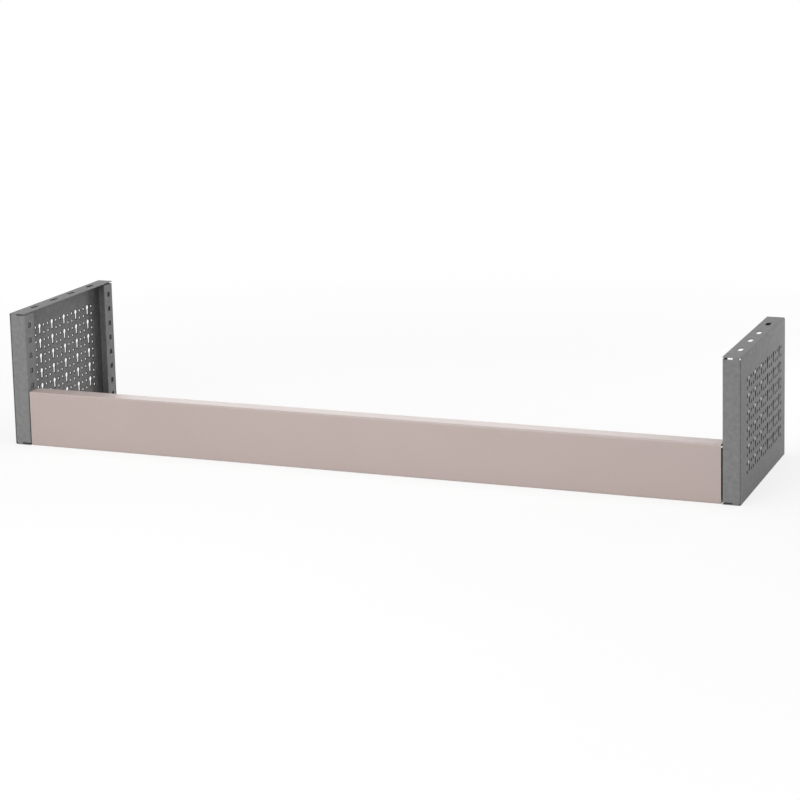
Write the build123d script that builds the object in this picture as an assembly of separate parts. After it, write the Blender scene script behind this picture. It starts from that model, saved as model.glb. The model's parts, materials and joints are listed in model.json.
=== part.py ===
from build123d import *
import math
import os

# A crossbeam bolted between two perforated end panels, all in folded sheet steel.
# Millimetres. X runs along the beam, Y from front to rear and Z up.
# The origin is under the middle of the assembly, on the plane that it stands on.

# Overall size of the assembly and of each end panel
overall_width = 1820.0
panel_width = 42.0
panel_depth = 440.0
panel_height = 330.0

# Outer skin of an end panel, folded at its top and bottom edges
skin_sheet = 1.5
skin_inside_radius = 2.0

# Front and rear posts of an end panel, each a folded channel
post_sheet = 1.5
post_inside_radius = 1.5
post_flange_depth = 42.0
post_leg_depth = 38.0
post_end_slit = 4.0
post_tab_width = 15.0
post_tab_corner = 2.0

# Perforation of the skin: columns of small holes, and a column of keyholes in every third place
column_pitch = 20.0
row_pitch = 19.0
first_column_from_front = 56.0
first_row_height = 60.5
top_row_margin = 60.0
columns_per_keyhole_count = 3
rows_per_keyhole_count = 2
small_hole_across = 6.4
small_hole_sides = 6
keyhole_head_radius = 6.0
keyhole_slot_width = 6.4
keyhole_drop = 15.8
keyhole_head_facets = 5
keyhole_end_facets = 2

# Square holes along each post flange
square_hole = 10.0
square_pitch = 38.0
first_square_height = 32.0
top_square_margin = 30.0

# Slots in the skin's top and bottom edges, as two pairs about the middle of the depth
slot_length = 30.0
slot_width = 11.0
inner_slot_spacing = 84.0
outer_slot_spacing = 276.0

# Crossbeam, a folded channel with lips, open at the back
beam_height = 135.0
beam_depth = 45.0
beam_sheet = 2.0
beam_inside_radius = 2.0
beam_lip = 16.0

# Angle bracket at each end of the beam
bracket_sheet = 3.0
bracket_inside_radius = 3.0
bracket_depth = 36.0
bracket_tongue = 48.0
bracket_height = 116.0
bracket_hole_clearance = 1.0

# Hexagon bolts that hold the brackets to the front posts, the upper one two squares above the lowest
bolt_step_count = 2
bolt_diameter = 8.0
bolt_length = 20.0
bolt_head_height = 5.3
hexagon_across_flats = 13.0
nut_height = 6.5
nut_bore_clearance = 0.1
washer_bore_clearance = 0.4
head_washer_diameter = 16.0
head_washer_thickness = 1.6
nut_washer_diameter = 24.0
nut_washer_thickness = 2.0

# How far the tools that cut holes run past the sheet, above and below it
cutter_overrun = 1.0

# Planes that the pieces share, on the right-hand side
front = -panel_depth / 2
outer_face = overall_width / 2
inner_face = outer_face - panel_width
skin_back = outer_face - skin_sheet
beam_end = inner_face - bracket_sheet
square_line = front + post_flange_depth / 2


def folded_sheet(corners, sheet, inside_radius, plane, length):
    """A sheet folded along the outer line given by corners, with its wall on the left of that line."""
    with BuildPart() as folded:
        with BuildSketch(plane):
            with BuildLine():
                FilletPolyline(*corners, radius=inside_radius + sheet)
                offset(amount=sheet, side=Side.LEFT)
            make_face()
        extrude(amount=length)
    return folded.part


def row_places(first, last, pitch):
    """Evenly spaced places from the first one on, as many as fit up to the last."""
    count = int((last - first) / pitch) + 1
    return [first + pitch * row for row in range(count)]


def square_heights():
    """Heights of the square holes in a post."""
    return row_places(first_square_height, panel_height - top_square_margin, square_pitch)


def keyhole_outline():
    """Corners of one keyhole about the centre of its head, with the slot pointing down."""
    half_slot = keyhole_slot_width / 2
    neck = math.asin(half_slot / keyhole_head_radius)
    sweep = 2 * math.pi - 2 * neck
    corners = []
    for step in range(keyhole_head_facets + 1):
        angle = neck + sweep * step / keyhole_head_facets
        corners.append((math.sin(angle) * keyhole_head_radius, -math.cos(angle) * keyhole_head_radius))
    for step in range(keyhole_end_facets + 1):
        angle = math.pi * step / keyhole_end_facets
        corners.append((-math.cos(angle) * half_slot, -keyhole_drop - math.sin(angle) * half_slot))
    return corners


def perforation_cutter():
    """Every small hole and keyhole of the right-hand skin, as one set of prisms along X."""
    rear_leg_edge = panel_depth / 2 - post_leg_depth
    last_column = rear_leg_edge - small_hole_across / 2
    columns = row_places(front + first_column_from_front, last_column, column_pitch)
    rows = row_places(first_row_height, panel_height - top_row_margin, row_pitch)
    keyhole_columns = columns[1::columns_per_keyhole_count]
    small_places = [(y, z) for y in columns if y not in keyhole_columns for z in rows]
    keyhole_places = [(y, z) for y in keyhole_columns for z in rows[1::rows_per_keyhole_count]]
    with BuildPart() as cutter:
        with BuildSketch(Plane.YZ.offset(skin_back - cutter_overrun)):
            with Locations(*small_places):
                RegularPolygon(small_hole_across / 2, small_hole_sides, major_radius=False)
            with Locations(*keyhole_places):
                Polygon(*keyhole_outline(), align=None)
        extrude(amount=skin_sheet + 2 * cutter_overrun)
    return cutter.part


def edge_slot_cutter():
    """The four slots that go through both the top and the bottom edge of the right-hand skin."""
    middle = outer_face - panel_width / 2
    distances = (inner_slot_spacing / 2, outer_slot_spacing / 2)
    places = [(middle, side * distance) for side in (-1, 1) for distance in distances]
    with BuildPart() as cutter:
        with BuildSketch(Plane.XY):
            with Locations(*places):
                SlotOverall(slot_length, slot_width, rotation=90)
        extrude(amount=panel_height)
    return cutter.part


def outer_skin():
    """Perforated side sheet of the right-hand panel, folded over at its top and bottom."""
    corners = [(inner_face, 0), (outer_face, 0), (outer_face, panel_height), (inner_face, panel_height)]
    rear_end = Plane.XZ.offset(-panel_depth / 2)
    skin = folded_sheet(corners, skin_sheet, skin_inside_radius, rear_end, panel_depth)
    return skin - perforation_cutter() - edge_slot_cutter()


def square_hole_cutter():
    """The row of square holes through the flange of the right-hand front post."""
    with BuildPart() as cutter:
        with BuildSketch(Plane.YZ.offset(inner_face - cutter_overrun)):
            with Locations(*[(square_line, z) for z in square_heights()]):
                Rectangle(square_hole, square_hole)
        extrude(amount=post_sheet + 2 * cutter_overrun)
    return cutter.part


def post_tabs():
    """The two short tabs by which the post's face meets the skin's folded edges."""
    outer_side = skin_back - post_inside_radius - post_sheet
    tab_height = panel_height - 2 * skin_sheet
    with BuildPart() as tabs:
        with BuildSketch(Plane.XZ.offset(panel_depth / 2)):
            with Locations((outer_side - post_tab_width / 2, panel_height / 2)):
                RectangleRounded(post_tab_width, tab_height, post_tab_corner)
        extrude(amount=-post_sheet)
    return tabs.part


def front_post():
    """Folded channel at the front of the right-hand panel: leg on the skin, face and flange."""
    bottom = skin_sheet + post_end_slit
    height = panel_height - 2 * bottom
    corners = [
        (inner_face, front + post_flange_depth),
        (inner_face, front),
        (skin_back, front),
        (skin_back, front + post_leg_depth),
    ]
    channel = folded_sheet(corners, post_sheet, post_inside_radius, Plane.XY.offset(bottom), height)
    return channel + post_tabs() - square_hole_cutter()


def crossbeam():
    """Lipped channel with its plain face to the front and its open side to the rear."""
    back = front + beam_depth
    corners = [
        (back, beam_height - beam_lip),
        (back, beam_height),
        (front, beam_height),
        (front, 0),
        (back, 0),
        (back, beam_lip),
    ]
    left_end = Plane.YZ.offset(-beam_end)
    return folded_sheet(corners, beam_sheet, beam_inside_radius, left_end, 2 * beam_end)


def bolt_heights():
    """Heights of the two square holes that the bolts go through."""
    squares = square_heights()
    return [squares[0], squares[bolt_step_count]]


def end_bracket():
    """Angle whose plate lies on the right-hand front post and whose tongue lies inside the beam."""
    tongue_face = front + beam_sheet
    base = Plane.XY.offset((beam_height - bracket_height) / 2)
    corners = [
        (inner_face - bracket_tongue, tongue_face),
        (inner_face, tongue_face),
        (inner_face, tongue_face + bracket_depth),
    ]
    angle = folded_sheet(corners, bracket_sheet, bracket_inside_radius, base, bracket_height)
    with BuildPart() as holes:
        with BuildSketch(Plane.YZ.offset(beam_end - cutter_overrun)):
            with Locations(*[(square_line, z) for z in bolt_heights()]):
                Circle((bolt_diameter + bracket_hole_clearance) / 2)
        extrude(amount=bracket_sheet + 2 * cutter_overrun)
    return angle - holes.part


def ring(outer_diameter, bore_diameter, thickness):
    """Washer about the X axis, with its lower-numbered face at the origin."""
    with BuildPart() as washer:
        with BuildSketch(Plane.YZ):
            Circle(outer_diameter / 2)
            Circle(bore_diameter / 2, mode=Mode.SUBTRACT)
        extrude(amount=thickness)
    return washer.part


def bolt():
    """Hexagon bolt along X with the underside of its head at the origin."""
    with BuildPart() as fastener:
        with BuildSketch(Plane.YZ):
            RegularPolygon(hexagon_across_flats / 2, 6, major_radius=False)
        extrude(amount=-bolt_head_height)
        with BuildSketch(Plane.YZ):
            Circle(bolt_diameter / 2)
        extrude(amount=bolt_length)
    return fastener.part


def nut():
    """Hexagon nut about the X axis, with its seat at the origin."""
    with BuildPart() as fastener:
        with BuildSketch(Plane.YZ):
            RegularPolygon(hexagon_across_flats / 2, 6, major_radius=False)
            Circle((bolt_diameter + nut_bore_clearance) / 2, mode=Mode.SUBTRACT)
        extrude(amount=nut_height)
    return fastener.part


def at_bolts(x, piece):
    """A piece made about the X axis, copied to each bolt of the right-hand end and mirrored."""
    copies = [piece.moved(Location((x, square_line, z))) for z in bolt_heights()]
    copies += [mirror(copy, about=Plane.YZ) for copy in copies]
    return Compound(children=copies)


def fasteners():
    """Bolts, washers and nuts of both ends, by name."""
    washer_bore = bolt_diameter + washer_bore_clearance
    head_seat = beam_end - head_washer_thickness
    nut_washer_seat = inner_face + post_sheet
    nut_seat = nut_washer_seat + nut_washer_thickness
    head_washer = ring(head_washer_diameter, washer_bore, head_washer_thickness)
    nut_washer = ring(nut_washer_diameter, washer_bore, nut_washer_thickness)
    return {
        "bracket_bolts": at_bolts(head_seat, bolt()),
        "head_washers": at_bolts(head_seat, head_washer),
        "nut_washers": at_bolts(nut_washer_seat, nut_washer),
        "bracket_nuts": at_bolts(nut_seat, nut()),
    }


def end_pieces():
    """Every folded piece of the right-hand end, by name."""
    front_channel = front_post()
    return {
        "outer_skin": outer_skin(),
        "front_post": front_channel,
        "rear_post": mirror(front_channel, about=Plane.XZ),
        "end_bracket": end_bracket(),
    }


def main():
    """Writes one file for each named piece of the assembly."""
    os.makedirs("parts", exist_ok=True)
    export_step(crossbeam(), "parts/crossbeam.step")
    for name, piece in end_pieces().items():
        export_step(piece, f"parts/right_{name}.step")
        export_step(mirror(piece, about=Plane.YZ), f"parts/left_{name}.step")
    for name, group in fasteners().items():
        export_step(group, f"parts/{name}.step")


main()
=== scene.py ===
import json
import logging
import math
from collections.abc import Callable, Iterator, Sequence
from contextlib import contextmanager
from dataclasses import dataclass
from enum import Enum
from itertools import pairwise

import bpy
from mathutils import Matrix, Vector


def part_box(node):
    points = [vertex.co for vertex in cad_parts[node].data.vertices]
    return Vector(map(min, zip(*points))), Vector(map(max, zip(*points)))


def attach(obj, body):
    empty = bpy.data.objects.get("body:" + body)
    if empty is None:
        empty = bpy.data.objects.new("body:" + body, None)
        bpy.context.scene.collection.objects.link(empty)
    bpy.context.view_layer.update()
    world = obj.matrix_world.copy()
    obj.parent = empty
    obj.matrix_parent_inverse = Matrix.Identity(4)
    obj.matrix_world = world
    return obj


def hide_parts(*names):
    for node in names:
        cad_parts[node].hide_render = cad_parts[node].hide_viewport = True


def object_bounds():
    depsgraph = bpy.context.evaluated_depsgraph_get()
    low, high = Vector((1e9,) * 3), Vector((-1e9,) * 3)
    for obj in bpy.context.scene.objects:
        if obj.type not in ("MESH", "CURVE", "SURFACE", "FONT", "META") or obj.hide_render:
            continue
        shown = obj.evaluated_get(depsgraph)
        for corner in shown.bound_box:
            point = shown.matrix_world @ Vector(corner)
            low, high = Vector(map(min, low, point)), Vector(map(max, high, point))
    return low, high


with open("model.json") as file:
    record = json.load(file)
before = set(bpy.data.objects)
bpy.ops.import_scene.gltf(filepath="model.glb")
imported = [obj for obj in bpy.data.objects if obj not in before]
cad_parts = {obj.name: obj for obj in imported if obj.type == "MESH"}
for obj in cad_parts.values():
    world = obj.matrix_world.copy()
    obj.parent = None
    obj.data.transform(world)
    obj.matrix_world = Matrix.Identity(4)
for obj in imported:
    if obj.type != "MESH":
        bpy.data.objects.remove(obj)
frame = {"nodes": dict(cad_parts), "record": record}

CAD_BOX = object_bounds()
BODY = "root"
HEXAGON_SIDES = 6
# Points closer together than this are one point
WELD_DISTANCE = 1e-6
# Width of the small plane that shrinks to the first point of a turned outline
SEED_WIDTH = 1e-4
# Faces that meet at less than this angle look like one smooth surface
SMOOTH_ANGLE = math.radians(30)
# Part of a direction along an axis above which it counts as pointing that way
MOSTLY = 0.5
# Share of half its width by which a slot's end is rounded, so that its two curves don't quite meet
FULL_ROUND = 0.998
# What noise comes to on average, and the place half way between two colours
NOISE_MEAN = 0.5
HALF_WAY = 0.5
# Sockets of the Mix node when it mixes colours
MIX_SHARE, MIX_FIRST_COLOUR, MIX_SECOND_COLOUR = 0, 6, 7
MIX_COLOUR = 2

Tone = tuple[float, float, float]
Colour = tuple[float, float, float, float] | bpy.types.NodeSocket
DirectionTest = Callable[[Vector, Vector], bool]

log = logging.getLogger("crossbeam")


def grey(level: float) -> tuple[float, float, float, float]:
    """A neutral colour."""
    return (level, level, level, 1.0)


def shaded(tone: Tone, share: float) -> tuple[float, float, float, float]:
    """A tone made darker or lighter."""
    return (*(part * share for part in tone), 1.0)


class Side(Enum):
    """The two ends of the beam, with the direction of X that points outwards there."""

    LEFT = -1
    RIGHT = 1


class Element(Enum):
    """What an edit works on, with the mesh select mode that goes with it."""

    POINT = (True, False, False)
    EDGE = (False, True, False)
    FACE = (False, False, True)


class Cut(Enum):
    """How one solid changes another."""

    REMOVE = "DIFFERENCE"
    ADD = "UNION"
    KEEP_COMMON = "INTERSECT"


# Shader sums


class Signal:
    """A number that runs through a shader, on which sums are written as plain Python."""

    def __init__(self, tree: bpy.types.NodeTree, socket: bpy.types.NodeSocket) -> None:
        """Wraps an output socket of the tree."""
        self.tree = tree
        self.socket = socket

    def _math(self, operation: str, first: "Signal | float", second: "Signal | float") -> "Signal":
        """Adds one Math node.

        Args:
            operation: name of the Math node's operation.
            first: left-hand term.
            second: right-hand term.

        Returns:
            The node's result.
        """
        node = self.tree.nodes.new("ShaderNodeMath")
        node.operation = operation
        for place, term in enumerate((first, second)):
            if isinstance(term, Signal):
                self.tree.links.new(term.socket, node.inputs[place])
            else:
                node.inputs[place].default_value = term
        return Signal(self.tree, node.outputs[0])

    def __add__(self, other: "Signal | float") -> "Signal":
        """Sum."""
        return self._math("ADD", self, other)

    __radd__ = __add__

    def __sub__(self, other: "Signal | float") -> "Signal":
        """Difference."""
        return self._math("SUBTRACT", self, other)

    def __rsub__(self, other: float) -> "Signal":
        """Difference from a plain number."""
        return self._math("SUBTRACT", other, self)

    def __mul__(self, other: "Signal | float") -> "Signal":
        """Product."""
        return self._math("MULTIPLY", self, other)

    __rmul__ = __mul__

    def or_more(self, other: "Signal | float") -> "Signal":
        """The larger of the two."""
        return self._math("MAXIMUM", self, other)

    def magnitude(self) -> "Signal":
        """The number without its sign."""
        return self._math("ABSOLUTE", self, 0.0)

    def from_nearest(self, spacing: float) -> "Signal":
        """Distance to the nearest multiple of a spacing."""
        return self._math("PINGPONG", self, spacing / 2)

    def wrapped(self, period: float) -> "Signal":
        """The rest after whole periods are taken off."""
        return self._math("FLOORED_MODULO", self, period)

    def below(self, limit: float) -> "Signal":
        """1 where the number is under a limit, and 0 elsewhere."""
        return self._math("LESS_THAN", self, limit)


class ShaderSheet:
    """The node tree of one material or of the world, filled node by node."""

    def __init__(self, owner: bpy.types.Material | bpy.types.World) -> None:
        """Empties the owner's node tree.

        Args:
            owner: the material or world.
        """
        owner.use_nodes = True
        self.tree = owner.node_tree
        self.tree.nodes.clear()

    def node(
        self,
        kind: str,
        settings: dict[str, object] | None = None,
        inputs: dict[str | int, object] | None = None,
    ) -> bpy.types.Node:
        """Adds a node, with its settings made first and its sockets filled after them.

        Args:
            kind: the node's type.
            settings: attributes of the node.
            inputs: a number, a colour or a link for each named or numbered socket.

        Returns:
            The new node.
        """
        made = self.tree.nodes.new(kind)
        for name, value in (settings or {}).items():
            setattr(made, name, value)
        for name, value in (inputs or {}).items():
            if isinstance(value, Signal):
                self.tree.links.new(value.socket, made.inputs[name])
            elif isinstance(value, bpy.types.NodeSocket):
                self.tree.links.new(value, made.inputs[name])
            else:
                made.inputs[name].default_value = value
        return made

    def signal(self, node: bpy.types.Node, output: str | int = 0) -> Signal:
        """One output of a node as a number to calculate with."""
        return Signal(self.tree, node.outputs[output])

    def place(self) -> bpy.types.NodeSocket:
        """Where a point lies on the object, in metres."""
        return self.node("ShaderNodeTexCoord").outputs["Object"]

    def coordinates(self) -> tuple[Signal, Signal, Signal]:
        """The point's X, Y and Z, in metres."""
        parts = self.node("ShaderNodeSeparateXYZ", {}, {"Vector": self.place()})
        return self.signal(parts, "X"), self.signal(parts, "Y"), self.signal(parts, "Z")

    def noise(self, size: float, detail: float) -> Signal:
        """Soft random spots.

        Args:
            size: width of a spot in metres.
            detail: how many finer layers lie in it.

        Returns:
            The spots' strength, about 0.5 on average.
        """
        inputs = {"Vector": self.place(), "Scale": 1 / size, "Detail": detail}
        return self.signal(self.node("ShaderNodeTexNoise", {}, inputs))

    def blend(self, share: Signal, first: Colour, second: Colour) -> bpy.types.NodeSocket:
        """A colour between two others, by the share that the second one has."""
        inputs = {MIX_SHARE: share, MIX_FIRST_COLOUR: first, MIX_SECOND_COLOUR: second}
        return self.node("ShaderNodeMix", {"data_type": "RGBA"}, inputs).outputs[MIX_COLOUR]

    def seen_directly(self) -> Signal:
        """Tells what the picture shows from what only lights the object.

        Returns:
            1 for rays from the camera and for those that gloss or glass sends on, and 0 for the rest.
        """
        path = self.node("ShaderNodeLightPath")
        camera = self.signal(path, "Is Camera Ray")
        gloss = self.signal(path, "Is Glossy Ray")
        return camera.or_more(gloss).or_more(self.signal(path, "Is Transmission Ray"))

    def finish(self, shader: bpy.types.Node, kind: str = "ShaderNodeOutputMaterial") -> None:
        """Sends a shader to the tree's output."""
        self.node(kind, {}, {"Surface": shader.outputs[0]})


# Finishes


@dataclass(frozen=True)
class HolePattern:
    """Sizes and spacing of the round holes and keyholes in a panel's outer skin."""

    column_pitch: float = 0.020
    column_count: int = 18
    row_pitch: float = 0.019
    row_count: int = 12
    first_column: float = 0.056
    first_row: float = 0.0605
    columns_per_keyhole: int = 3
    rows_per_keyhole: int = 2
    small_radius: float = 0.0032
    head_radius: float = 0.006
    neck_width: float = 0.0064
    neck_drop: float = 0.0158

    @property
    def keyhole_pitch(self) -> float:
        """Distance from one column of keyholes to the next."""
        return self.column_pitch * self.columns_per_keyhole

    @property
    def keyhole_rise(self) -> float:
        """Distance from one row of keyholes to the next."""
        return self.row_pitch * self.rows_per_keyhole

    def column_place(self, column: float) -> float:
        """Distance of a column from the skin's front edge."""
        return self.first_column + self.column_pitch * column

    def row_place(self, row: float) -> float:
        """Height of a row above the skin's lower edge."""
        return self.first_row + self.row_pitch * row


@dataclass(frozen=True)
class PerforationShadeRims:
    """Where painted shade darkens the edges and walls of a skin's round holes and keyholes."""

    pattern: HolePattern
    front: float
    base: float
    rim: float = 0.0016

    @staticmethod
    def _in_field(place: Signal, pitch: float, count: int) -> Signal:
        """1 over the rows or columns, and 0 past the last one on each side."""
        middle = pitch * (count - 1) / 2
        return (place - middle).magnitude().below(pitch * count / 2)

    @staticmethod
    def _in_circle(across: Signal, upwards: Signal, radius: float) -> Signal:
        """1 within a radius, and 0 outside it."""
        return (across * across + upwards * upwards).below(radius**2)

    def _round_holes(self, along: Signal, rise: Signal) -> Signal:
        """Round holes in every row and column, as if no keyhole took their place.

        Args:
            along: distance behind the first column.
            rise: height above the first row.

        Returns:
            1 on the rims, and 0 elsewhere.
        """
        across = along.from_nearest(self.pattern.column_pitch)
        upwards = rise.from_nearest(self.pattern.row_pitch)
        return self._in_circle(across, upwards, self.pattern.small_radius + self.rim)

    def _keyholes(self, from_column: Signal, rise: Signal) -> Signal:
        """Heads and the narrow slots under them.

        Args:
            from_column: distance from the nearest column of keyholes.
            rise: height above the first row.

        Returns:
            1 on the rims, and 0 elsewhere.
        """
        sizes = self.pattern
        half_neck = sizes.neck_width / 2 + self.rim
        from_head = (rise - sizes.row_pitch).from_nearest(sizes.keyhole_rise)
        under_head = (sizes.row_pitch - rise).wrapped(sizes.keyhole_rise)
        head = self._in_circle(from_column, from_head, sizes.head_radius + self.rim)
        neck = from_column.below(half_neck) * under_head.below(sizes.neck_drop + half_neck)
        return head.or_more(neck)

    def mask(self, sheet: ShaderSheet) -> Signal:
        """Builds the mask from the pattern's own sizes.

        Args:
            sheet: the shader that it is for.

        Returns:
            1 on the rims and on the holes' walls, and 0 elsewhere.
        """
        sizes = self.pattern
        _, y, z = sheet.coordinates()
        along = y - (self.front + sizes.first_column)
        rise = z - (self.base + sizes.first_row)
        from_keyhole = (along - sizes.column_pitch).from_nearest(sizes.keyhole_pitch)
        is_keyhole = from_keyhole.below(sizes.column_pitch / 2)
        round_holes = self._round_holes(along, rise) * (1 - is_keyhole)
        holes = round_holes + self._keyholes(from_keyhole, rise) * is_keyhole
        columns = self._in_field(along, sizes.column_pitch, sizes.column_count)
        return holes * columns * self._in_field(rise, sizes.row_pitch, sizes.row_count)


@dataclass(frozen=True)
class SquareHoleShadeRims:
    """Where painted shade darkens the edges and walls of the square holes in the posts' flanges."""

    flange_face: float
    line: float
    base: float
    first_height: float = 0.032
    pitch: float = 0.038
    half_width: float = 0.005
    rim: float = 0.0012
    reach: float = 0.0018

    def mask(self, sheet: ShaderSheet) -> Signal:
        """Builds the mask for the posts of both panels at once.

        Args:
            sheet: the shader that it is for.

        Returns:
            1 on the rims and on the holes' walls, and 0 elsewhere.
        """
        x, y, z = sheet.coordinates()
        across = (y.magnitude() - self.line).magnitude()
        upwards = (z - (self.base + self.first_height)).from_nearest(self.pitch)
        near_hole = across.or_more(upwards).below(self.half_width + self.rim)
        return near_hole * x.magnitude().below(self.flange_face + self.reach)


@dataclass(frozen=True)
class PowderCoat:
    """Baked powder paint: orange peel, small mottle, slow clouds of tone, and painted shade at the rims
    of holes.
    """

    name: str
    tone: Tone
    # Painted shade round holes: where it goes, and how dark it is
    rims: SquareHoleShadeRims | PerforationShadeRims | None = None
    painted_shade_level: float = 0.03
    roughness: float = 0.75
    specular: float = 0.3
    coat: float = 0.0
    coat_roughness: float = 0.3
    mottle: float = 0.30
    cloud: float = 0.06
    gloss_spread: float = 0.12
    peel_size: float = 0.0012
    peel_height: float = 0.00006
    peel_strength: float = 0.6
    peel_detail: float = 2
    mottle_size: float = 0.011
    mottle_detail: float = 3
    mottle_relief: float = 0.5
    cloud_size: float = 0.16
    cloud_detail: float = 2

    def material(self) -> bpy.types.Material:
        """Builds the paint.

        Returns:
            The material.
        """
        made = bpy.data.materials.new(self.name)
        sheet = ShaderSheet(made)
        peel = sheet.noise(self.peel_size, self.peel_detail)
        mottle = sheet.noise(self.mottle_size, self.mottle_detail)
        cloud = sheet.noise(self.cloud_size, self.cloud_detail)
        reach = self.mottle + self.cloud
        swing = (mottle - NOISE_MEAN) * self.mottle + (cloud - NOISE_MEAN) * self.cloud
        share = HALF_WAY + swing * (1 / reach)
        colour = sheet.blend(share, shaded(self.tone, 1 - reach), shaded(self.tone, 1 + reach))
        # Painted shade: the rims and walls of the holes are darkened to near black
        if self.rims:
            colour = sheet.blend(self.rims.mask(sheet), colour, grey(self.painted_shade_level))
        relief = {
            "Strength": self.peel_strength,
            "Distance": self.peel_height,
            "Height": peel + mottle * self.mottle_relief,
        }
        bump = sheet.node("ShaderNodeBump", {}, relief)
        unevenness = (peel - NOISE_MEAN) + (cloud - NOISE_MEAN)
        paint = {
            "Base Color": colour,
            "Roughness": self.roughness + unevenness * self.gloss_spread,
            "Specular IOR Level": self.specular,
            "Coat Weight": self.coat,
            "Coat Roughness": self.coat_roughness,
            "Normal": bump.outputs[0],
        }
        sheet.finish(sheet.node("ShaderNodeBsdfPrincipled", {}, paint))
        return made


@dataclass(frozen=True)
class ZincPlate:
    """Bright zinc plating on steel, with a fine grain and a faint haze."""

    name: str
    colour: Colour = (0.60, 0.61, 0.64, 1.0)
    haze_colour: Colour = (0.47, 0.46, 0.44, 1.0)
    roughness: float = 0.30
    roughness_spread: float = 0.22
    haze_size: float = 0.004
    haze_detail: float = 3
    grain_size: float = 0.0004
    grain_detail: float = 1
    grain_height: float = 0.00002
    grain_strength: float = 0.5

    def material(self) -> bpy.types.Material:
        """Builds the plating.

        Returns:
            The material.
        """
        made = bpy.data.materials.new(self.name)
        sheet = ShaderSheet(made)
        haze = sheet.noise(self.haze_size, self.haze_detail)
        grain = sheet.noise(self.grain_size, self.grain_detail)
        relief = {"Strength": self.grain_strength, "Distance": self.grain_height, "Height": grain}
        bump = sheet.node("ShaderNodeBump", {}, relief)
        metal = {
            "Base Color": sheet.blend(haze, self.haze_colour, self.colour),
            "Metallic": 1.0,
            "Roughness": self.roughness + (haze - NOISE_MEAN) * self.roughness_spread,
            "Normal": bump.outputs[0],
        }
        sheet.finish(sheet.node("ShaderNodeBsdfPrincipled", {}, metal))
        return made


# Shaping


def clear_selection() -> None:
    """Leaves nothing selected, so that the next operator acts on its own piece alone."""
    bpy.ops.object.select_all(action="DESELECT")


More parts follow.
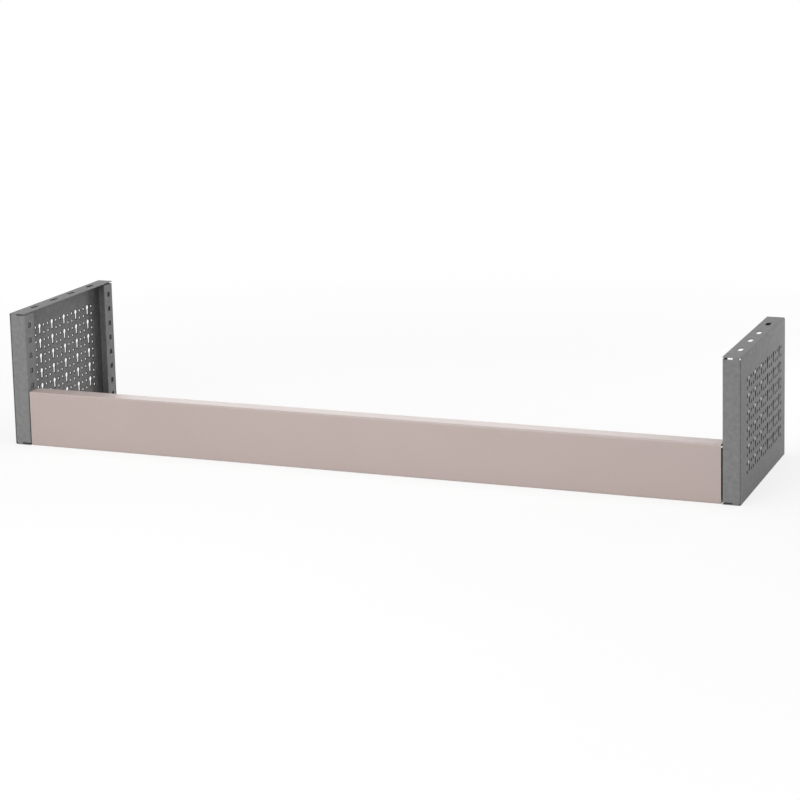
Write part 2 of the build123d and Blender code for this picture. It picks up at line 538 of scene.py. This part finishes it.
class Workpiece:
    """A mesh on the bench, shaped step by step in the frame's own metres."""

    def __init__(self, name: str, item: bpy.types.Object | None = None) -> None:
        """Takes up the object given, or the one that an operator has just added.

        Args:
            name: the piece's name.
            item: the object, where it isn't the one that is active.
        """
        self.item = item or bpy.context.active_object
        self.item.name = name
        self.item.data.name = name

    @classmethod
    def block(cls, name: str, low: Vector, high: Vector) -> "Workpiece":
        """A box between two corners.

        Args:
            name: the piece's name.
            low: its lowest corner.
            high: its highest corner.

        Returns:
            The box.
        """
        clear_selection()
        bpy.ops.mesh.primitive_cube_add(size=1, location=(low + high) / 2, scale=high - low)
        piece = cls(name)
        piece.settle()
        return piece

    @classmethod
    def rod(cls, name: str, start: Vector, length: float, radius: float, sides: int) -> "Workpiece":
        """A prism along X with many sides or few.

        Args:
            name: the piece's name.
            start: centre of the end with the lower X.
            length: how far it goes along X.
            radius: from the middle to a corner.
            sides: how many sides it has.

        Returns:
            The rod.
        """
        clear_selection()
        middle = start + Vector((length / 2, 0, 0))
        turn = (0, math.pi / 2, 0)
        bpy.ops.mesh.primitive_cylinder_add(
            vertices=sides, radius=radius, depth=length, location=middle, rotation=turn
        )
        piece = cls(name)
        piece.settle()
        return piece

    @classmethod
    def turned(cls, name: str, outline: Sequence[tuple[float, float]], sides: int) -> "Workpiece":
        """A solid turned about the X axis.

        Args:
            name: the piece's name.
            outline: places along X, each with its radius, in order round the section.
            sides: how many sides make the full turn.

        Returns:
            The turned piece.
        """
        clear_selection()
        bpy.ops.mesh.primitive_plane_add(size=SEED_WIDTH)
        piece = cls(name)
        with piece.editing(Element.POINT):
            bpy.ops.mesh.select_all(action="SELECT")
            bpy.ops.mesh.merge(type="CENTER")
            x, radius = outline[0]
            bpy.ops.transform.translate(value=(x, 0, radius))
            for (x, radius), (next_x, next_radius) in pairwise(outline):
                step = (next_x - x, 0, next_radius - radius)
                bpy.ops.mesh.extrude_vertices_move(TRANSFORM_OT_translate={"value": step})
            bpy.ops.mesh.select_all(action="SELECT")
            bpy.ops.mesh.spin(steps=sides, angle=2 * math.pi, center=(0, 0, 0), axis=(1, 0, 0))
        piece.close_up()
        return piece

    def activate(self) -> None:
        """Makes this the only selected piece."""
        clear_selection()
        self.item.select_set(True)
        bpy.context.view_layer.objects.active = self.item

    def settle(self) -> None:
        """Puts the piece's place, turn and scale into its mesh."""
        self.activate()
        bpy.ops.object.transform_apply(location=True, rotation=True, scale=True)

    @contextmanager
    def editing(self, element: Element) -> Iterator[None]:
        """Opens the piece in edit mode for the length of a with block.

        Args:
            element: what the block works on.
        """
        self.activate()
        bpy.context.tool_settings.mesh_select_mode = element.value
        bpy.ops.object.mode_set(mode="EDIT")
        yield
        bpy.ops.object.mode_set(mode="OBJECT")

    def _unpick(self) -> None:
        """Takes every point, edge and face out of the selection."""
        mesh = self.item.data
        for part in (mesh.vertices, mesh.edges, mesh.polygons):
            part.foreach_set("select", [False] * len(part))

    def pick_faces(self, test: DirectionTest) -> None:
        """Selects the faces that pass a test.

        Args:
            test: takes a face's centre and normal.
        """
        self._unpick()
        for face in self.item.data.polygons:
            face.select = test(face.center, face.normal)

    def pick_edges(self, test: DirectionTest) -> None:
        """Selects the edges that pass a test.

        Args:
            test: takes an edge's middle and direction.
        """
        self._unpick()
        mesh = self.item.data
        for edge in mesh.edges:
            start, end = (mesh.vertices[number].co for number in edge.vertices)
            edge.select = test((start + end) / 2, (end - start).normalized())

    def remove_picked(self) -> None:
        """Deletes the selected faces."""
        with self.editing(Element.FACE):
            bpy.ops.mesh.delete(type="FACE")

    def round_picked(self, radius: float, segments: int) -> None:
        """Rounds the selected edges."""
        with self.editing(Element.EDGE):
            bpy.ops.mesh.bevel(offset=radius, segments=segments, affect="EDGES")

    def score(self, point: Vector, normal: Vector) -> None:
        """Draws a line of edges where a plane meets the piece.

        Args:
            point: any point of the plane.
            normal: the way the plane faces.
        """
        with self.editing(Element.FACE):
            bpy.ops.mesh.select_all(action="SELECT")
            bpy.ops.mesh.bisect(plane_co=point, plane_no=normal)

    def close_up(self) -> None:
        """Welds points that lie together, then turns every face outwards."""
        with self.editing(Element.POINT):
            bpy.ops.mesh.select_all(action="SELECT")
            bpy.ops.mesh.remove_doubles(threshold=WELD_DISTANCE)
            bpy.ops.mesh.normals_make_consistent(inside=False)

    def _apply(self, kind: str, settings: dict[str, object]) -> None:
        """Adds a modifier and applies it.

        Args:
            kind: the modifier's type.
            settings: its attributes.
        """
        self.activate()
        modifier = self.item.modifiers.new(kind.lower(), kind)
        for name, value in settings.items():
            setattr(modifier, name, value)
        bpy.ops.object.modifier_apply(modifier=modifier.name)

    def thicken(self, thickness: float) -> None:
        """Gives a shell its wall, on the inner side of its faces."""
        self._apply("SOLIDIFY", {"thickness": thickness, "offset": -1, "use_even_offset": True})

    def repeat(self, count: int, step: Vector) -> None:
        """Makes a row of the piece.

        Args:
            count: how many there are in the row, with itself.
            step: from one to the next.
        """
        row = {
            "use_relative_offset": False,
            "use_constant_offset": True,
            "constant_offset_displace": step,
            "count": count,
        }
        self._apply("ARRAY", row)

    def combine(self, other: "Workpiece", cut: Cut) -> None:
        """Changes the piece by another, which is used up."""
        self._apply("BOOLEAN", {"operation": cut.value, "solver": "EXACT", "object": other.item})
        other.discard()

    def discard(self) -> None:
        """Takes the piece off the bench."""
        mesh = self.item.data
        bpy.data.objects.remove(self.item)
        bpy.data.meshes.remove(mesh)

    def copies(self, name: str, places: Sequence[Matrix]) -> "Workpiece":
        """Sets copies of the piece out and joins them into one piece, in place of itself.

        Args:
            name: name of the joined piece.
            places: where each copy goes.

        Returns:
            The joined piece.
        """
        items = []
        for place in places:
            item = self.item.copy()
            item.data = self.item.data.copy()
            item.matrix_world = place
            bpy.context.collection.objects.link(item)
            items.append(item)
        self.discard()
        clear_selection()
        for item in items:
            item.select_set(True)
        bpy.context.view_layer.objects.active = items[0]
        bpy.ops.object.join()
        joined = Workpiece(name, items[0])
        joined.settle()
        return joined

    def put_on_finishes(self, finishes: Sequence[bpy.types.Material], second: DirectionTest) -> None:
        """Gives the piece its finishes.

        Args:
            finishes: the main finish, and the one for the faces that pass the test.
            second: takes a face's centre and normal.
        """
        mesh = self.item.data
        mesh.materials.clear()
        for finish in finishes:
            mesh.materials.append(finish)
        for face in mesh.polygons:
            face.material_index = int(second(face.center, face.normal))

    def hand_over(self, slot: str, node: str) -> None:
        """Smooths the finished piece and puts it in the place of a node.

        Args:
            slot: the record's material slot; not used.
            node: the node that it stands for.
        """
        self.activate()
        bpy.ops.object.shade_smooth_by_angle(angle=SMOOTH_ANGLE)
        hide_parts(node)
        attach(self.item, BODY)
        log.info("%s: %d faces, stands for %s", self.item.name, len(self.item.data.polygons), node)


# Pieces


@dataclass
class PerforatedSkin:
    """Outer sheet of an end panel, folded at top and bottom, with round holes, keyholes and slots."""

    side: Side
    pattern: HolePattern
    sheet: float = 0.0015
    inside_radius: float = 0.002
    fold_segments: int = 8
    slot_length: float = 0.030
    slot_width: float = 0.011
    slot_spacings: tuple[float, float] = (0.084, 0.276)
    round_sides: int = 24
    end_segments: int = 8
    tool_length: float = 0.004
    slot_overrun: float = 0.004
    # Share of half the sheet's depth or height past which a face lies at its edge
    edge_share: float = 0.95

    def __post_init__(self) -> None:
        """Reads the sheet's place from the node that it stands for."""
        self.node = f"{self.side.name.lower()}_outer_skin"
        self.low, self.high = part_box(self.node)
        self.outwards = Vector((self.side.value, 0, 0))
        self.outer = self.high.x if self.side is Side.RIGHT else self.low.x
        self.middle = (self.low + self.high) / 2

    def _folded_sheet(self) -> Workpiece:
        """The sheet with its two folds and its thickness, before any hole.

        It is scored half way between the holes, so that each is cut in a small face of its own.

        Returns:
            The folded sheet.
        """
        skin = Workpiece.block(f"{self.side.name.lower()}_perforated_skin", self.low, self.high)
        skin.pick_faces(
            lambda centre, normal: abs(normal.y) > MOSTLY or normal.dot(self.outwards) < -MOSTLY
        )
        skin.remove_picked()
        skin.pick_edges(
            lambda middle, along: abs(along.y) > MOSTLY and abs(middle.x - self.outer) < self.sheet
        )
        skin.round_picked(self.inside_radius + self.sheet, self.fold_segments)
        for column in range(self.pattern.column_count + 1):
            y = self.low.y + self.pattern.column_place(column - 1 / 2)
            skin.score(Vector((0, y, 0)), Vector((0, 1, 0)))
        for row in range(self.pattern.row_count + 1):
            z = self.low.z + self.pattern.row_place(row - 1 / 2)
            skin.score(Vector((0, 0, z)), Vector((0, 0, 1)))
        skin.thicken(self.sheet)
        return skin

    def _spread(self, tool: Workpiece, rows: int, rise: float) -> None:
        """Repeats a hole's tool up the sheet and then along it, once to each column of keyholes.

        Args:
            tool: the tool for the lowest hole at the front.
            rows: how many rows have the hole.
            rise: from one such row to the next.
        """
        tool.repeat(rows, Vector((0, 0, rise)))
        groups = self.pattern.column_count // self.pattern.columns_per_keyhole
        tool.repeat(groups, Vector((0, self.pattern.keyhole_pitch, 0)))

    def _tool_start(self, column: int, row: int) -> Vector:
        """Where the tool for a hole starts, with the wall at the middle of its length.

        Args:
            column: the hole's column, from 0 at the front.
            row: the hole's row, from 0 at the bottom.

        Returns:
            The centre of the tool's end with the lower X.
        """
        wall_middle = self.outer - self.side.value * self.sheet / 2
        y = self.low.y + self.pattern.column_place(column)
        z = self.low.z + self.pattern.row_place(row)
        return Vector((wall_middle - self.tool_length / 2, y, z))

    def _small_holes(self) -> Workpiece:
        """Makes the tool for every small round hole, on both sides of each column of keyholes.

        Returns:
            The tool.
        """
        sizes = self.pattern
        start = self._tool_start(0, 0)
        tool = Workpiece.rod(
            "small_hole_tool", start, self.tool_length, sizes.small_radius, self.round_sides
        )
        tool.repeat(2, Vector((0, 2 * sizes.column_pitch, 0)))
        self._spread(tool, sizes.row_count, sizes.row_pitch)
        return tool

    def _keyholes(self) -> Workpiece:
        """Makes the tool for every keyhole: a round head with a narrow slot that hangs from it.

        Returns:
            The tool.
        """
        sizes = self.pattern
        head = self._tool_start(1, 1)
        tool = Workpiece.rod(
            "keyhole_tool", head, self.tool_length, sizes.head_radius, self.round_sides
        )
        half = sizes.neck_width / 2
        low = head + Vector((0, -half, -sizes.neck_drop - half))
        neck = Workpiece.block("neck_tool", low, head + Vector((self.tool_length, half, 0)))
        neck.pick_edges(lambda middle, along: abs(along.x) > MOSTLY and middle.z < head.z - half)
        neck.round_picked(half * FULL_ROUND, self.end_segments)
        tool.combine(neck, Cut.ADD)
        self._spread(tool, sizes.row_count // sizes.rows_per_keyhole, sizes.keyhole_rise)
        return tool

    def _edge_slot(self, y: float) -> Workpiece:
        """Makes the tool for one slot of the top edge and the one below it in the bottom edge.

        Args:
            y: where the slots' middle lies.

        Returns:
            The tool.
        """
        half = Vector((self.slot_width / 2, self.slot_length / 2, 0))
        rise = Vector((0, 0, (self.high.z - self.low.z) / 2 + self.slot_overrun))
        centre = Vector((self.middle.x, y, self.middle.z))
        tool = Workpiece.block("edge_slot_tool", centre - half - rise, centre + half + rise)
        tool.pick_edges(lambda middle, along: abs(along.z) > MOSTLY)
        tool.round_picked(half.x * FULL_ROUND, self.end_segments)
        return tool

    def _is_cut_edge(self, centre: Vector, normal: Vector) -> bool:
        """Tells the walls of holes and slots from the sheet's faces and outer edges.

        Args:
            centre: a face's centre.
            normal: its normal.

        Returns:
            Whether the face is the wall of a hole or slot.
        """
        depth_share = abs(centre.y - self.middle.y) / (self.high.y - self.middle.y)
        height_share = abs(centre.z - self.middle.z) / (self.high.z - self.middle.z)
        if depth_share >= self.edge_share:
            return False
        if height_share > self.edge_share:
            return abs(centre.x - self.middle.x) < self.slot_width and abs(normal.z) < MOSTLY
        return abs(centre.x - self.outer) < self.sheet and abs(normal.x) < MOSTLY

    def build(self, finish: bpy.types.Material, edge_finish: bpy.types.Material) -> None:
        """Makes the sheet, cuts its holes and puts it in the node's place.

        Args:
            finish: the panel's paint.
            edge_finish: painted shade on the walls of the holes and slots.
        """
        skin = self._folded_sheet()
        skin.combine(self._small_holes(), Cut.REMOVE)
        skin.combine(self._keyholes(), Cut.REMOVE)
        for spacing in self.slot_spacings:
            for way in (-1, 1):
                skin.combine(self._edge_slot(self.middle.y + way * spacing / 2), Cut.REMOVE)
        skin.close_up()
        # The walls of the holes and slots get a near-black finish that is painted shade
        skin.put_on_finishes([finish, edge_finish], self._is_cut_edge)
        skin.hand_over("panel_paint", self.node)


@dataclass
class EndFasteners:
    """The hexagon bolts, washers and nuts that hold the beam's end brackets to the front posts."""

    thread_diameter: float = 0.008
    thread_pitch: float = 0.00125
    thread_depth: float = 0.0006
    point_length: float = 0.001
    head_height: float = 0.0053
    overlap: float = 0.001
    across_flats: float = 0.013
    chamfer_angle: float = math.radians(30)
    chamfer_share: float = 0.95
    corner_allowance: float = 1.02
    head_washer: tuple[float, float] = (0.016, 0.0016)
    nut_washer: tuple[float, float] = (0.024, 0.002)
    washer_edge: float = 0.0003
    washer_clearance: float = 0.0004
    nut_clearance: float = 0.0001
    sides: int = 32

    def __post_init__(self) -> None:
        """Reads from the nodes where the fasteners sit."""
        low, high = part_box("nut_washers")
        washer_radius = self.nut_washer[0] / 2
        self.line = (low.y + high.y) / 2
        self.heights = (low.z + washer_radius, high.z - washer_radius)
        self.head_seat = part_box("head_washers")[1].x - self.head_washer[1]
        self.nut_washer_seat = high.x - self.nut_washer[1]
        self.nut_seat = high.x
        self.nut_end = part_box("bracket_nuts")[1].x
        self.bolt_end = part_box("bracket_bolts")[1].x
        self.corner_radius = self.across_flats / math.sqrt(3)

    def _set_out(self, piece: Workpiece, seat: float, finish: bpy.types.Material, node: str) -> None:
        """Puts a copy of a piece on each bolt's line and hands them over.

        Args:
            piece: the piece, made about the X axis with its seat at the origin.
            seat: X of the seat at the right-hand end.
            finish: the plating.
            node: the node that the four copies stand for.
        """
        places = []
        for side in Side:
            turn = Matrix.Rotation(0 if side is Side.RIGHT else math.pi, 4, "Z")
            for height in self.heights:
                places.append(Matrix.Translation((side.value * seat, self.line, height)) @ turn)
        group = piece.copies(piece.item.name, places)
        group.put_on_finishes([finish], lambda centre, normal: False)
        group.hand_over("zinc_plate", node)

    def _hexagon(self, name: str, low: float, high: float, both_ends: bool) -> Workpiece:
        """A hexagon bar with its corners turned down at the free end, or at both.

        Args:
            name: the piece's name.
            low: lower end along X, which is the free end.
            high: upper end along X.
            both_ends: whether the upper end is turned down as well.

        Returns:
            The hexagon.
        """
        start = Vector((low, 0, 0))
        bar = Workpiece.rod(name, start, high - low, self.corner_radius, HEXAGON_SIDES)
        flat = self.across_flats / 2 * self.chamfer_share
        wide = self.corner_radius * self.corner_allowance
        fall = (wide - flat) * math.tan(self.chamfer_angle)
        tool_low = low - self.overlap
        tool_high = high + self.overlap
        outline = [(tool_low, 0), (tool_low, flat), (low, flat), (low + fall, wide)]
        if both_ends:
            outline += [(high - fall, wide), (high, flat)]
        else:
            outline += [(tool_high, wide)]
        outline += [(tool_high, flat), (tool_high, 0)]
        bar.combine(Workpiece.turned("corner_tool", outline, self.sides), Cut.KEEP_COMMON)
        return bar

    def _bolt(self) -> Workpiece:
        """Makes a hexagon head on a shank whose free end is threaded.

        The thread is turned as a row of ridges, one to each pitch.

        Returns:
            The bolt, about the X axis, with the underside of its head at the origin.
        """
        length = self.bolt_end - self.head_seat
        radius = self.thread_diameter / 2
        root = radius - self.thread_depth
        x = self.nut_end - self.head_seat - self.thread_pitch
        outline = [(-self.overlap, 0), (-self.overlap, radius), (x, radius)]
        while x + self.thread_pitch < length - self.point_length:
            outline += [(x + self.thread_pitch / 2, root), (x + self.thread_pitch, radius)]
            x += self.thread_pitch
        outline += [(length, root), (length, 0)]
        bolt = self._hexagon("threaded_bolts", -self.head_height, 0, False)
        bolt.combine(Workpiece.turned("shank", outline, self.sides), Cut.ADD)
        return bolt

    def _nut(self) -> Workpiece:
        """Makes a hexagon nut, turned down at both faces, with a bore that clears the thread.

        Returns:
            The nut, about the X axis, with its seat at the origin.
        """
        height = self.nut_end - self.nut_seat
        nut = self._hexagon("chamfered_nuts", 0, height, True)
        bore = (self.thread_diameter + self.nut_clearance) / 2
        overrun = height
        start = Vector((-overrun, 0, 0))
        tool = Workpiece.rod("bore_tool", start, height + 2 * overrun, bore, self.sides)
        nut.combine(tool, Cut.REMOVE)
        return nut

    def _washer(self, name: str, diameter: float, thickness: float) -> Workpiece:
        """Makes a flat ring whose outer edges are eased, as on stamped washers.

        Args:
            name: the washer's name.
            diameter: across its outside.
            thickness: its thickness.

        Returns:
            The washer, about the X axis, with one face at the origin.
        """
        outer, edge = diameter / 2, self.washer_edge
        bore = (self.thread_diameter + self.washer_clearance) / 2
        outline = [(0, bore), (0, outer - edge), (edge, outer), (thickness - edge, outer)]
        outline += [(thickness, outer - edge), (thickness, bore), (0, bore)]
        return Workpiece.turned(name, outline, self.sides)

    def build(self, finish: bpy.types.Material) -> None:
        """Makes every fastener and puts each kind in its node's place.

        Args:
            finish: the plating.
        """
        head_washer = self._washer("eased_head_washers", *self.head_washer)
        nut_washer = self._washer("eased_nut_washers", *self.nut_washer)
        self._set_out(self._bolt(), self.head_seat, finish, "bracket_bolts")
        self._set_out(head_washer, self.head_seat, finish, "head_washers")
        self._set_out(nut_washer, self.nut_washer_seat, finish, "nut_washers")
        self._set_out(self._nut(), self.nut_seat, finish, "bracket_nuts")


@dataclass
class CarriedNodes:
    """The folded pieces whose solids already have their true shape, and which only get their paint."""

    finishes: dict[str, bpy.types.Material]

    def build(self) -> None:
        """Paints every node that still shows, by the record's material slots.

        The posts have the panels' paint with painted shade at the rims of their own square holes.
        """
        for part in frame["record"]["subparts"]:
            node = frame["nodes"][part["node"]]
            if node.hide_render:
                continue
            finish = "post_paint" if part["node"].endswith("_post") else part["material_slot"]
            for slot in node.material_slots:
                slot.material = self.finishes[finish]
            log.info("%s: painted with %s", part["node"], finish)


# Studio


@dataclass
class StudioFloor:
    """A plain pale floor that keeps a soft shadow near the object and is white beyond it."""

    width: float = 60.0
    level: float = 0.95
    shadow_share: float = 0.22
    near: float = 1.1
    far: float = 2.4

    def build(self) -> None:
        """Lays the floor under the object's lowest point."""
        clear_selection()
        bpy.ops.mesh.primitive_plane_add(size=self.width, location=(0, 0, CAD_BOX[0].z))
        floor = bpy.context.active_object
        floor.name = "studio_floor"
        bpy.ops.object.transform_apply(location=True, rotation=False, scale=False)
        floor.data.materials.append(self._material())

    def _material(self) -> bpy.types.Material:
        """Builds the floor's finish.

        Returns:
            White to the camera and to reflections, apart from the shadow, and matt for the rest.
        """
        made = bpy.data.materials.new("studio_floor")
        sheet = ShaderSheet(made)
        matt = sheet.node("ShaderNodeBsdfDiffuse", {}, {"Color": grey(self.level)})
        white = sheet.node("ShaderNodeEmission", {}, {"Color": grey(1.0), "Strength": 1.0})
        reach = sheet.node("ShaderNodeVectorMath", {"operation": "LENGTH"}, {0: sheet.place()})
        fade_inputs = {"Value": sheet.signal(reach, "Value"), "From Min": self.near, "From Max": self.far}
        fade = sheet.signal(sheet.node("ShaderNodeMapRange", {}, fade_inputs))
        whiteness = (1 - self.shadow_share) + fade * self.shadow_share
        share = sheet.seen_directly() * whiteness
        layers = {0: share, 1: matt.outputs[0], 2: white.outputs[0]}
        sheet.finish(sheet.node("ShaderNodeMixShader", {}, layers))
        return made


@dataclass
class StudioSky:
    """Even light from all round, in front of a plain white background."""

    strength: float = 0.37

    def build(self) -> None:
        """Sets up the world."""
        world = bpy.data.worlds.new("studio_sky")
        bpy.context.scene.world = world
        sheet = ShaderSheet(world)
        light = sheet.node("ShaderNodeBackground", {}, {"Color": grey(1.0), "Strength": self.strength})
        white = sheet.node("ShaderNodeBackground", {}, {"Color": grey(1.0), "Strength": 1.0})
        layers = {0: sheet.seen_directly(), 1: light.outputs[0], 2: white.outputs[0]}
        sheet.finish(sheet.node("ShaderNodeMixShader", {}, layers), "ShaderNodeOutputWorld")


@dataclass
class SoftLamp:
    """A square lamp that faces a point on the object."""

    name: str
    aim: Vector
    place: tuple[float, float, float]
    width: float
    power: float

    def build(self) -> None:
        """Hangs the lamp."""
        lamp = bpy.data.lights.new(self.name, "AREA")
        lamp.shape = "SQUARE"
        lamp.size = self.width
        lamp.energy = self.power
        item = bpy.data.objects.new(self.name, lamp)
        item.location = self.place
        item.rotation_mode = "QUATERNION"
        item.rotation_quaternion = (self.aim - item.location).to_track_quat("-Z", "Y")
        bpy.context.collection.objects.link(item)


@dataclass
class PhotoCamera:
    """The camera at the photograph's place, with the photograph's framing.

    Its axis lies above the middle of the picture, as when a lens is shifted down.
    """

    place: tuple[float, float, float] = (2.0074, -4.9027, 1.4281)
    azimuth: float = math.radians(21.889)
    elevation: float = math.radians(9.31)
    roll: float = math.radians(-1.37)
    picture_pixels: float = 800
    focal_pixels: float = 2262.6
    axis_rise_pixels: float = 180
    sensor: float = 36

    def build(self) -> None:
        """Sets the camera up and makes it the scene's."""
        flat = math.cos(self.elevation)
        x, y = math.sin(self.azimuth) * flat, -math.cos(self.azimuth) * flat
        back = Vector((x, y, math.sin(self.elevation)))
        level_right = (-back).cross(Vector((0, 0, 1))).normalized()
        level_up = level_right.cross(-back)
        right = level_right * math.cos(self.roll) + level_up * math.sin(self.roll)
        up = level_up * math.cos(self.roll) - level_right * math.sin(self.roll)
        camera = bpy.data.cameras.new("photo_camera")
        camera.sensor_width = self.sensor
        camera.lens = self.sensor * self.focal_pixels / self.picture_pixels
        camera.shift_y = -self.axis_rise_pixels / self.picture_pixels
        item = bpy.data.objects.new("photo_camera", camera)
        turn = Matrix((right, up, back)).transposed().to_4x4()
        item.matrix_world = Matrix.Translation(self.place) @ turn
        bpy.context.collection.objects.link(item)
        bpy.context.scene.camera = item


@dataclass
class Studio:
    """Floor, background, lamps and camera."""

    aim: Vector

    def _lamps(self) -> list[SoftLamp]:
        """Lists the lamps: two in front, one above and two behind.

        Returns:
            The lamps, which all face the aim.
        """
        return [
            SoftLamp("front_lamp", self.aim, place=(-1.2, -3.4, 2.0), width=2.6, power=30),
            SoftLamp("fill_lamp", self.aim, place=(-0.2, -3.2, 0.9), width=1.6, power=31),
            SoftLamp("top_lamp", self.aim, place=(0.0, 0.0, 3.6), width=3.0, power=62),
            SoftLamp("rear_lamp", self.aim, place=(-1.5, 3.5, 1.2), width=2.5, power=20),
            SoftLamp("rear_side_lamp", self.aim, place=(1.5, 1.1, 0.3), width=0.5, power=5),
        ]

    def build(self) -> None:
        """Sets the studio up round the object."""
        for fixture in (StudioFloor(), StudioSky(), *self._lamps(), PhotoCamera()):
            fixture.build()


def mix_finishes(pattern: HolePattern) -> dict[str, bpy.types.Material]:
    """Mixes the paints of the panels, beam and brackets, the painted shade for the holes' walls, and the
    fasteners' plating; the brackets' near-black paint is painted shade as well.

    Args:
        pattern: the holes of the panels' outer skins.

    Returns:
        Every finish by its name.
    """
    mid_grey = (0.20, 0.20, 0.20)
    shadow_gap_grey = (0.03, 0.03, 0.03)
    shadow_grey = (0.025, 0.025, 0.025)
    pinkish_beige = (0.435, 0.355, 0.332)
    skin_low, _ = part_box("right_outer_skin")
    post_low, post_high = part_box("right_front_post")
    square_line = abs(post_low.y + post_high.y) / 2
    recipes = [
        # The panels' and the posts' paint both carry painted shade round their holes
        PowderCoat("panel_paint", mid_grey, PerforationShadeRims(pattern, skin_low.y, skin_low.z)),
        PowderCoat("post_paint", mid_grey, SquareHoleShadeRims(post_low.x, square_line, skin_low.z)),
        # Painted shade for the walls of the holes and slots
        PowderCoat("cut_edge_painted_shade", shadow_grey),
        PowderCoat(
            "beam_paint",
            pinkish_beige,
            roughness=0.4,
            specular=0.5,
            coat=0.35,
            mottle=0.02,
            cloud=0.03,
            gloss_spread=0.08,
            peel_height=0.00001,
        ),
        # Near black as painted shade: the brackets sit in the shadow gap between the beam's ends and the
        # posts
        PowderCoat("bracket_paint", shadow_gap_grey),
        ZincPlate("zinc_plate"),
    ]
    return {recipe.name: recipe.material() for recipe in recipes}


def main() -> None:
    """Builds the object's pieces in order, then the studio around them."""
    logging.basicConfig(level=logging.INFO, format="%(message)s")
    bpy.context.scene.view_settings.view_transform = "Standard"
    pattern = HolePattern()
    finishes = mix_finishes(pattern)
    for side in Side:
        PerforatedSkin(side, pattern).build(finishes["panel_paint"], finishes["cut_edge_painted_shade"])
    EndFasteners().build(finishes["zinc_plate"])
    CarriedNodes(finishes).build()
    beam_low, beam_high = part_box("crossbeam")
    Studio((beam_low + beam_high) / 2).build()


if __name__ == "__main__":
    main()
